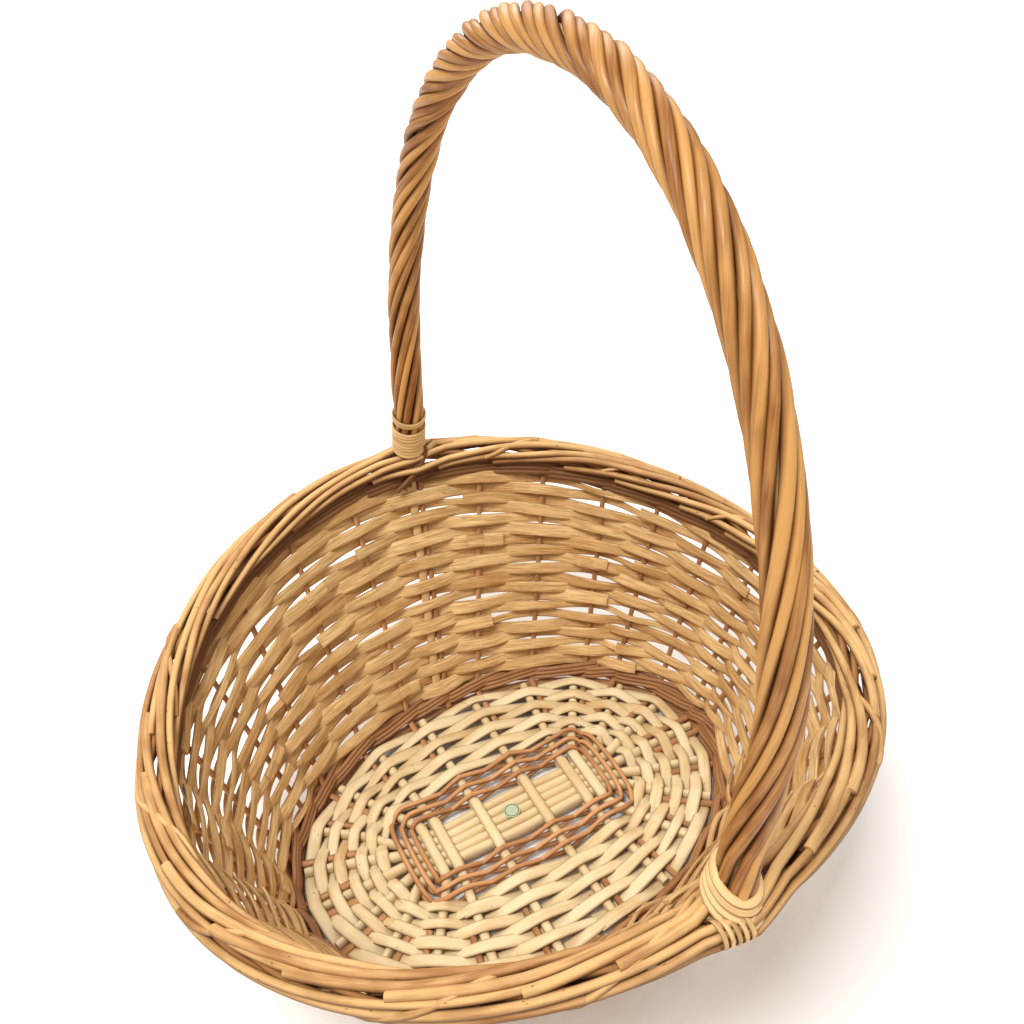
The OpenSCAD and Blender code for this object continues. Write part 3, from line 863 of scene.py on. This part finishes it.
class BASKET_OT_side_stakes(bpy.types.Operator):
    """Brown stakes that lie beside the floor's sticks and turn up into the border"""

    bl_idname = "basket.side_stakes"
    bl_label = "Side Stakes"

    def execute(self, context):
        sizes = context.scene.basket_sizes
        piece = Piece("side_stake_rods", 41)
        for k in range(STAKES):
            bend, top = BENDS[k], TOPS[k]
            up = (top - bend).normalized()
            if k in HANDLE_STAKES:
                inner = FLOOR_MIDDLE + oval(FLOOR_A, FLOOR_B, stake_angle(k), STICK_Z) + foot_side(k)
            else:
                inner = stick_at(near_stick(k), FOOT_SHARE) + foot_side(k)
            path = smooth_path([
                inner, mix(inner, bend, 0.5), mix(inner, bend, 0.93), bend + up * 1.6 * MM,
                mix(bend, top, 0.12), mix(bend, top, 0.4), mix(bend, top, 0.7), top,
            ], 5)
            n = len(path)
            width = [mix(sizes.stake, sizes.stake * 0.8, j / n) for j in range(n)]
            side = Z_AXIS.cross(up).normalized()
            piece.strand(path, [side] * n, width, width, THIN_ROUND)
        piece.finish(brown_rod(context), "brown_rod", "side_stakes")
        return {"FINISHED"}


def waling(piece, height, diameter, rise, offset):
    """Rods twisted round the wall together: each passes outside the stakes but one in every turn."""
    for rod in range(WALE_RODS):
        path, out = [], []
        for p in steps_between(0, STAKES, 0.16)[:-1]:
            foot, up, outward, tall = wall_at(p)
            turn = math.tau * (p - rod) * round(STAKES / WALE_RODS) / STAKES
            lean = 0.25 + math.cos(turn)
            lean = max(-1.0, min(1.0, lean * 1.6))
            lift = height(tall) + rise * math.sin(turn)
            path.append(foot + up * lift + outward * lean * offset)
            out.append(outward)
        piece.strand(path, out, diameter, diameter, THIN_ROUND, closed=True)


class BASKET_OT_upsett(bpy.types.Operator):
    """Waling of thin brown rods under and just above the floor's edge"""

    bl_idname = "basket.upsett"
    bl_label = "Foot and Upsett"

    def execute(self, context):
        sizes = context.scene.basket_sizes
        piece = Piece("upsett_rods", 53)
        offset = STAKE_RADIUS + sizes.wale / 2
        for i in range(UPSETT_ROUNDS):
            high = UPSETT_FIRST + i * UPSETT_PITCH
            waling(piece, lambda tall, high=high: high, sizes.wale, 2.3 * MM, offset)
        self.foot_ring(piece)
        piece.finish(brown_rod(context), "brown_rod", "foot_wale", "upsett_wale_1", "upsett_wale_2")
        return {"FINISHED"}

    def foot_ring(self, piece):
        """Rods twisted into the band that the basket stands on."""
        rod = 3.0 * MM
        rise = 1.25 * MM
        for i in range(FOOT_RODS):
            path, out = [], []
            for p in steps_between(0, math.tau, 0.035)[:-1]:
                turn = i * math.tau / FOOT_RODS + p * 13
                ring = FLOOR_MIDDLE + oval(BEND_A, BEND_B, p, 0)
                outward = (ring - FLOOR_MIDDLE).normalized()
                ring += outward * 1.9 * MM * math.cos(turn)
                ring.z = rod / 2 + rise + rise * math.sin(turn)
                path.append(ring)
                out.append(outward)
            piece.strand(path, out, rod, rod, THIN_ROUND, closed=True)


class BASKET_OT_wall_weave(bpy.types.Operator):
    """Rows of split willow in front of and behind the stakes"""

    bl_idname = "basket.wall_weave"
    bl_label = "Wall Weave"

    def execute(self, context):
        piece = Piece("wall_weave", 67)
        for i in range(WALL_ROUNDS):
            first = piece.draw.randrange(STAKES // 2) * 2 + i % 2
            joins = [first]
            while joins[-1] < first + STAKES - 12:
                joins.append(joins[-1] + piece.draw.choice((8, 10)))
            joins.append(first + STAKES)
            for start, end in zip(joins, joins[1:]):
                self.weaver(context, piece, i, start, end)
        piece.finish(wall_split(context), "split_wall", *numbered("wall_weaver", WALL_ROUNDS))
        return {"FINISHED"}

    def weaver(self, context, piece, i, start, end):
        """One split rod from its butt, which stands out inside the wall, to its thin tip."""
        sizes = context.scene.basket_sizes
        offset = STAKE_RADIUS + sizes.wall_strip_t / 2 + 0.3 * MM
        butt = piece.draw.uniform(0.18, 0.44)
        tip = piece.draw.uniform(0.1, 0.35)
        grow = piece.draw.uniform(0.92, 1.06)
        backward = piece.draw.random() < (0.75 if i > WALL_ROUNDS * 0.45 else 0.3)
        path, out, width, thick = [], [], [], []
        for p in steps_between(start - butt, end + tip, 0.085):
            foot, up, outward, tall = wall_at(p)
            pitch = (tall - WALL_HIGH - WALL_LOW) / WALL_ROUNDS
            from_butt, to_tip = p - start + butt, end + tip - p
            if backward:
                from_butt, to_tip = to_tip, from_butt
            wave = math.cos(math.pi * (p + i))
            wave = math.copysign(abs(wave) ** 0.8, wave)
            stray = noise.noise(Vector((p * 0.45, i * 3.7, 0.5))) * 1.6
            stray += noise.noise(Vector((p * 1.3, i * 9.1, 4.5)))
            height = WALL_LOW + pitch * (i + 0.5) + sizes.wobble * stray
            height += 1.3 * MM * (1 - smooth(from_butt / 0.9)) - 1.3 * MM * (1 - smooth(to_tip / 0.9))
            lean = -wave * offset - 2.6 * MM * (1 - smooth(from_butt / 0.6))
            lean += 0.8 * MM * (1 - smooth(to_tip / 0.6))
            path.append(foot + up * height + outward * lean)
            roll = noise.noise(Vector((p * 0.8, i * 4.3, 7.7))) * 0.55
            out.append((outward + up * roll).normalized())
            full = min(sizes.wall_strip, 1.3 * pitch) * grow
            full *= 1 + 0.16 * noise.noise(Vector((p * 0.5, i * 6.1, 2.2)))
            thin = mix(0.5, 1, smooth(to_tip / 3.5))
            width.append(full * thin)
            thick.append(sizes.wall_strip_t * mix(0.75, 1, thin))
        piece.strand(path, out, width, thick, SPLIT)


def handle_room(place):
    """How far the border's rods spread to let the handle through."""
    near = min(abs(place - h + n * STAKES) for h in HANDLE_STAKES for n in (-1, 0, 1))
    return max(0.0, 1 - 2 * near) * (BOW_RADIUS + HANDLE_CLEAR)


def border_point(place, turn, swell=1.0):
    angle = (place + 0.5) * STAKE_STEP
    even = turn + math.radians(3.4) * math.sin(2 * turn)
    over = BORDER_HALF_W * swell * math.cos(even)
    over += math.copysign(handle_room(place), over)
    return core_at(angle) + core_out(angle) * over + Z_AXIS * BORDER_HALF_H * swell * math.sin(even)


class BASKET_OT_border(bpy.types.Operator):
    """Rods that sweep over the top of the wall and down inside, over a layer that sweeps the other way"""

    bl_idname = "basket.border"
    bl_label = "Border"

    def execute(self, context):
        sizes = context.scene.basket_sizes
        piece = Piece("border_sweep", 71)
        for i in range(0, STAKES, 2):
            self.rod(piece, i + 0.375, 7.0, -72, 78, sizes.border_rod * 0.95, 1.0)
        for i in range(STAKES):
            self.rod(piece, i + 0.875, 3.9, 58, 208, sizes.border_rod, 1.03)
        for i in range(STAKES):
            # The inner layer is painted darker (darker=1.5): painted shade for the deep recesses under the
            # outer sweeps.
            self.rod(piece, i + 0.4, 3.4, 235, -50, sizes.border_rod * 0.85, 0.6, 1.5)
        for i in range(1, STAKES, 2):
            if all(abs(i - k) > 1 for k in HANDLE_STAKES):
                self.rod(piece, i + 0.2, 1.7, -64, 176, sizes.border_rod * 0.8, 1.05)
        piece.finish(honey_rod(context), "border_rod", "border_rods")
        return {"FINISHED"}

    def rod(self, piece, first, span, turn_from, turn_to, diameter, swell, darker=0.0):
        butt = diameter * piece.draw.uniform(0.88, 1.06)
        shift = piece.draw.uniform(-0.24, 0.24)
        seed = piece.draw.random() * 50
        path, width = [], []
        for f in steps_between(0, 1, 1 / (span * 9)):
            place = first + shift + span * f
            turn = math.radians(mix(turn_from, turn_to, f) + 17 * noise.noise(Vector((f * 3, seed, 0))))
            path.append(border_point(place, turn, swell * (1 + 0.15 * noise.noise(Vector((f * 4, seed, 5))))))
            width.append(mix(butt, butt * 0.72, f) * (1 + 0.05 * noise.noise(Vector((f * 14, seed, 9)))))
        piece.strand(path, [Z_AXIS] * len(path), width, width, ROUND, darker=darker)


class BASKET_OT_top_wale(bpy.types.Operator):
    """Waling of honey rods under the border"""

    bl_idname = "basket.top_wale"
    bl_label = "Waling Under the Border"

    def execute(self, context):
        sizes = context.scene.basket_sizes
        piece = Piece("top_wale_rods", 83)
        offset = STAKE_RADIUS + sizes.wale / 2
        for i in range(TOP_WALE_ROUNDS):
            below = BORDER_HALF_H + 0.6 * MM + i * TOP_WALE_PITCH
            waling(piece, lambda tall, below=below: tall - below, sizes.wale * 1.35, 1.4 * MM, offset)
        piece.finish(honey_rod(context), "border_rod", "top_wale")
        return {"FINISHED"}


class BASKET_OT_handle_bow(bpy.types.Operator):
    """The bow's core rod, whose flat ends run down inside the wall beside a stake"""

    bl_idname = "basket.handle_bow"
    bl_label = "Handle Bow"

    def execute(self, context):
        piece = Piece("handle_core", 89)
        points = bow_leg(1) + bow_post(1) + bow_arch(40) + bow_post(-1)[::-1] + bow_leg(-1)[::-1]
        n = len(points)
        width, thick = [], []
        for j in range(n):
            leg = smooth((min(j, n - 1 - j) - 3) / 2)
            width.append(mix(6.6 * MM, 2 * BOW_RADIUS, leg))
            thick.append(mix(3.6 * MM, 2 * BOW_RADIUS, leg))
        piece.strand(points, [Vector((0, p.y, 0.001)).normalized() for p in points], width, thick, ROUND)
        piece.finish(liner(context), "peeled_stick", "handle_bow")
        return {"FINISHED"}


def handle_line():
    """The roped part of the handle, from the far foot to the near one."""
    points = bow_post(1)[1:] + bow_arch(60) + bow_post(-1)[:0:-1]
    return even_path(points, 3.4 * MM)


class BASKET_OT_handle_roping(bpy.types.Operator):
    """Rods laid side by side round the bow, almost straight at the feet, and roped over the top"""

    bl_idname = "basket.handle_roping"
    bl_label = "Handle Roping"

    RODS = 9
    STEEPEST = 0.44

    def turn_at(self, share):
        """Share of the whole twist made up to this share of the handle."""
        def run(x):
            return 0.58 * x + 0.42 * 0.5 * (1 + math.erf((x - self.STEEPEST) / 0.2))

        return (run(share) - run(0)) / (run(1) - run(0))

    def execute(self, context):
        sizes = context.scene.basket_sizes
        piece = Piece("handle_rods", 97)
        line = handle_line()
        n = len(line)
        ring = BOW_RADIUS + 0.3 * MM + sizes.handle_rod / 2
        for i in range(self.RODS):
            seed = piece.draw.random() * 60
            grow = piece.draw.uniform(0.9, 1.16)
            path, out, width = [], [], []
            for j in range(n):
                share = j / (n - 1)
                along = (line[min(j + 1, n - 1)] - line[max(j - 1, 0)]).normalized()
                side = (X_AXIS - X_AXIS.dot(along) * along).normalized()
                angle = math.tau * (sizes.handle_turns * self.turn_at(share) + i / self.RODS)
                angle += 0.26 * noise.noise(Vector((share * 7, seed, 1)))
                away = side * math.cos(angle) + along.cross(side) * math.sin(angle)
                bulge = 1 + 0.09 * noise.noise(Vector((share * 9, seed, 4)))
                path.append(line[j] + away * ring * bulge)
                out.append(away)
                uneven = 1 + 0.05 * noise.noise(Vector((share * 20, seed, 8)))
                width.append(sizes.handle_rod * grow * uneven)
            piece.strand(path, out, width, width, ROUND)
        self.feet(piece, sizes)
        piece.finish(amber_rod(context), "handle_rod", *numbered("handle_rope_rod", FRAME_ROPE_RODS))
        return {"FINISHED"}

    def feet(self, piece, sizes):
        """Ends of the roping rods that dive through the border and down inside the wall."""
        for side in (1, -1):
            k = handle_stake(side)
            foot, up, outward, tall = wall_at(k)
            low, high = bow_post(side)[1], bow_post(side)[2]
            for n in range(3):
                across = X_AXIS * (n - 1.0) * 4.0 * MM
                drift = X_AXIS * (-9 - 5 * n) * MM
                inside = -outward * (6.5 + n) * MM
                path = smooth_path([
                    mix(low, high, 0.2) + across + inside * 0.9,
                    TOPS[k] + across * 1.1 + inside * 1.25 + Z_AXIS * 6 * MM,
                    TOPS[k] + across + drift * 0.35 + inside * 1.35 - up * 6 * MM,
                    TOPS[k] + drift + inside * 0.9 - up * 17 * MM,
                ], 7)
                count = len(path)
                width = [sizes.handle_rod * mix(0.86, 0.6, j / count) for j in range(count)]
                piece.strand(path, [outward] * count, width, width, ROUND)


class BASKET_OT_foot_bindings(bpy.types.Operator):
    """Wound skein round both feet of the handle"""

    bl_idname = "basket.foot_bindings"
    bl_label = "Foot Bindings"

    TURNS = 8
    TIE_TURNS = 5
    TIE_RADIUS = 6.6 * MM
    HIGH_SIDE = 2.42
    LOW_SIDE = 3.99

    def execute(self, context):
        sizes = context.scene.basket_sizes
        for name, side in (("binding_far", 1), ("binding_near", -1)):
            piece = Piece(name, 101 + side)
            if side > 0:
                self.coil(piece, side, 0.03, 0.88, self.TURNS, sizes.skein, 0.0, 1.6 * MM, 1.0 * MM)
                self.coil(piece, side, 1.08, 1.24, 2, sizes.skein, 0.0, 1.6 * MM, 1.0 * MM)
            else:
                self.coil(piece, side, -0.26, 0.34, 4, sizes.skein * 1.5, 3.4 * MM, 4.5 * MM, 6.0 * MM)
                self.tie(piece, side)
            piece.finish(skein_willow(context), "skein", "handle_" + name)
        return {"FINISHED"}

    def coil(self, piece, side, low, high, turns, skein, flare, dip, tilt):
        """A flat skein wound up the handle's foot, wider at its base, low in front and high at its side."""
        foot, shoulder = bow_post(side)[1], bow_post(side)[2]
        along = (shoulder - foot).normalized()
        across = (X_AXIS - X_AXIS.dot(along) * along).normalized()
        sizes = bpy.context.scene.basket_sizes
        radius = BOW_RADIUS + 0.3 * MM + sizes.handle_rod + 0.6 * MM
        path, out = [], []
        for f in steps_between(0, 1, 1 / (turns * 28)):
            angle = math.tau * turns * f
            away = across * math.cos(angle) + along.cross(across) * math.sin(angle)
            slant = tilt * math.cos(angle - self.HIGH_SIDE) - dip * math.cos(angle - self.LOW_SIDE)
            slant += 0.5 * MM * noise.noise(Vector((f * turns * 2, side, 3)))
            wide = radius + flare * (1 - f)
            path.append(mix(foot, shoulder, mix(low, high, f)) + along * slant + away * wide)
            out.append((away + along * flare / (3 * MM)).normalized())
        piece.strand(path, out, skein, 1.3 * MM, FLAT)

    def tie(self, piece, side):
        """Turns of skein round the outermost border rods, beside the near foot."""
        k = handle_stake(side)
        for n in range(self.TIE_TURNS):
            place = k - 0.34 + n * 0.062
            angle = (place + 0.5) * STAKE_STEP
            path, out = [], []
            reach = BORDER_HALF_W + handle_room(place) - 3.4 * MM
            middle = core_at(angle) + core_out(angle) * reach + Z_AXIS * 2.2 * MM
            for f in steps_between(0, math.tau, 0.3)[:-1]:
                away = core_out(angle) * math.cos(f) + Z_AXIS * math.sin(f)
                path.append(middle + away * self.TIE_RADIUS)
                out.append(away)
            piece.strand(path, out, 2.6 * MM, 1.2 * MM, FLAT, closed=True)


class BASKET_OT_label(bpy.types.Operator):
    """Blank round paper label on the long sticks"""

    bl_idname = "basket.label"
    bl_label = "Label"

    def execute(self, context):
        material = bpy.data.materials.new("Label paper")
        material.use_nodes = True
        tree = material.node_tree
        shader = tree.nodes["Principled BSDF"]
        place = add_node(tree, "ShaderNodeTexCoord").outputs["Object"]
        centre = (label_low + label_high) / 2
        flat = add_node(tree, "ShaderNodeMapping", Vector=place)
        flat.inputs["Location"].default_value = (-centre.x, -centre.y, -centre.z)
        away = add_node(tree, "ShaderNodeVectorMath", operation="LENGTH")
        tree.links.new(flat.outputs[0], away.inputs[0])
        ring = stretch(tree, away.outputs["Value"], 4.0 * MM, 4.3 * MM)
        edge = stretch(tree, away.outputs["Value"], 4.9 * MM, 4.7 * MM)
        fleck = add_node(tree, "ShaderNodeTexNoise", Scale=900.0, Detail=3.0, Vector=place).outputs["Fac"]
        paper = mix_colour(tree, fleck, linear(196, 204, 172), linear(158, 172, 132))
        paper = mix_colour(tree, math_node(tree, "MULTIPLY", ring, edge), paper, linear(74, 104, 70))
        tree.links.new(paper, shader.inputs["Base Color"])
        shader.inputs["Roughness"].default_value = 0.45
        bm = bmesh.new()
        radius = (label_high.x - label_low.x) / 2
        made = bmesh.ops.create_cone(
            bm, cap_ends=True, segments=48, radius1=radius, radius2=radius * 0.98,
            depth=label_high.z - label_low.z, matrix=Matrix.Translation(centre),
        )
        bmesh.ops.recalc_face_normals(bm, faces=bm.faces)
        for v in made["verts"]:
            bulge = math.cos((v.co.y - FLOOR_MIDDLE.y) / LONG_PITCH * math.tau)
            v.co.z += (bulge - 1) * 0.15 * MM
        piece = Piece("label_disc", 107)
        piece.take(bm)
        piece.finish(material, "label", "paper_label")
        return {"FINISHED"}


def area_light(name, place, target, size, watts):
    lamp = bpy.data.lights.new(name, "AREA")
    lamp.size = size
    lamp.energy = watts
    obj = bpy.data.objects.new(name, lamp)
    obj.location = place
    obj.rotation_mode = "QUATERNION"
    obj.rotation_quaternion = (Vector(target) - Vector(place)).to_track_quat("-Z", "Y")
    bpy.context.scene.collection.objects.link(obj)


class BASKET_OT_studio(bpy.types.Operator):
    """Pale ground, soft light and the camera"""

    bl_idname = "basket.studio"
    bl_label = "Studio"

    def execute(self, context):
        studio = context.scene.basket_studio
        bm = bmesh.new()
        bmesh.ops.create_grid(bm, x_segments=2, y_segments=2, size=4.0)
        mesh = bpy.data.meshes.new("ground")
        bm.to_mesh(mesh)
        bm.free()
        ground = bpy.data.objects.new("ground", mesh)
        material = bpy.data.materials.new("Ground")
        material.use_nodes = True
        shader = material.node_tree.nodes["Principled BSDF"]
        shader.inputs["Base Color"].default_value = (*studio.ground, 1)
        shader.inputs["Roughness"].default_value = 0.9
        mesh.materials.append(material)
        context.scene.collection.objects.link(ground)
        world = bpy.data.worlds.new("Studio")
        world.use_nodes = True
        world.node_tree.nodes["Background"].inputs["Color"].default_value = (1.0, 0.985, 0.96, 1)
        world.node_tree.nodes["Background"].inputs["Strength"].default_value = 0.5
        context.scene.world = world
        area_light("key", (-1.25, -0.6, 3.4), (0.02, 0.0, 0.1), 1.3, 106)
        area_light("fill", (0.9, -1.3, 1.4), (0.0, 0.1, 0.2), 1.2, 5)
        area_light("back", (0.3, 1.2, 1.4), (0.0, 0.0, 0.2), 1.0, 6)
        area_light("backdrop", (0.9, 2.4, 1.6), (0.9, 2.4, 0.0), 2.4, 45)
        self.camera(context, studio)
        context.scene.view_settings.view_transform = "Standard"
        return {"FINISHED"}

    def camera(self, context, studio):
        a, e, r = studio.azimuth, studio.elevation, studio.roll
        back = Vector((math.sin(a) * math.cos(e), -math.cos(a) * math.cos(e), math.sin(e)))
        right = (-back).cross(Z_AXIS).normalized()
        up = back.cross(right)
        across = right * math.cos(r) + up * math.sin(r)
        upward = up * math.cos(r) - right * math.sin(r)
        data = bpy.data.cameras.new("camera")
        data.lens = studio.lens
        data.sensor_width = 36
        data.clip_start = 0.01
        camera = bpy.data.objects.new("camera", data)
        turn = Matrix((across, upward, back)).transposed().to_4x4()
        camera.matrix_world = Matrix.Translation(studio.eye) @ turn
        context.scene.collection.objects.link(camera)
        context.scene.camera = camera


STEPS = (
    BASKET_OT_floor_sticks,
    BASKET_OT_floor_pairing,
    BASKET_OT_floor_weave,
    BASKET_OT_side_stakes,
    BASKET_OT_upsett,
    BASKET_OT_wall_weave,
    BASKET_OT_top_wale,
    BASKET_OT_border,
    BASKET_OT_handle_bow,
    BASKET_OT_handle_roping,
    BASKET_OT_foot_bindings,
    BASKET_OT_label,
    BASKET_OT_studio,
)


class BASKET_PT_panel(bpy.types.Panel):
    """Lists the basket's steps and settings"""

    bl_idname = "BASKET_PT_panel"
    bl_label = "Willow Egg Basket"
    bl_space_type = "VIEW_3D"
    bl_region_type = "UI"
    bl_category = "Basket"

    def draw(self, context):
        for group in (context.scene.basket_sizes, context.scene.basket_colours, context.scene.basket_studio):
            box = self.layout.box()
            for name in group.__annotations__:
                box.prop(group, name)
        for step in STEPS:
            self.layout.operator(step.bl_idname)


CLASSES = (BasketSizes, BasketColours, BasketStudio, *STEPS, BASKET_PT_panel)


def register():
    for kind in CLASSES:
        bpy.utils.register_class(kind)
    bpy.types.Scene.basket_sizes = bpy.props.PointerProperty(type=BasketSizes)
    bpy.types.Scene.basket_colours = bpy.props.PointerProperty(type=BasketColours)
    bpy.types.Scene.basket_studio = bpy.props.PointerProperty(type=BasketStudio)


def unregister():
    del bpy.types.Scene.basket_studio
    del bpy.types.Scene.basket_colours
    del bpy.types.Scene.basket_sizes
    for kind in reversed(CLASSES):
        bpy.utils.unregister_class(kind)


def main():
    register()
    for step in STEPS:
        group, name = step.bl_idname.split(".")
        getattr(getattr(bpy.ops, group), name)()


if __name__ == "__main__":
    main()
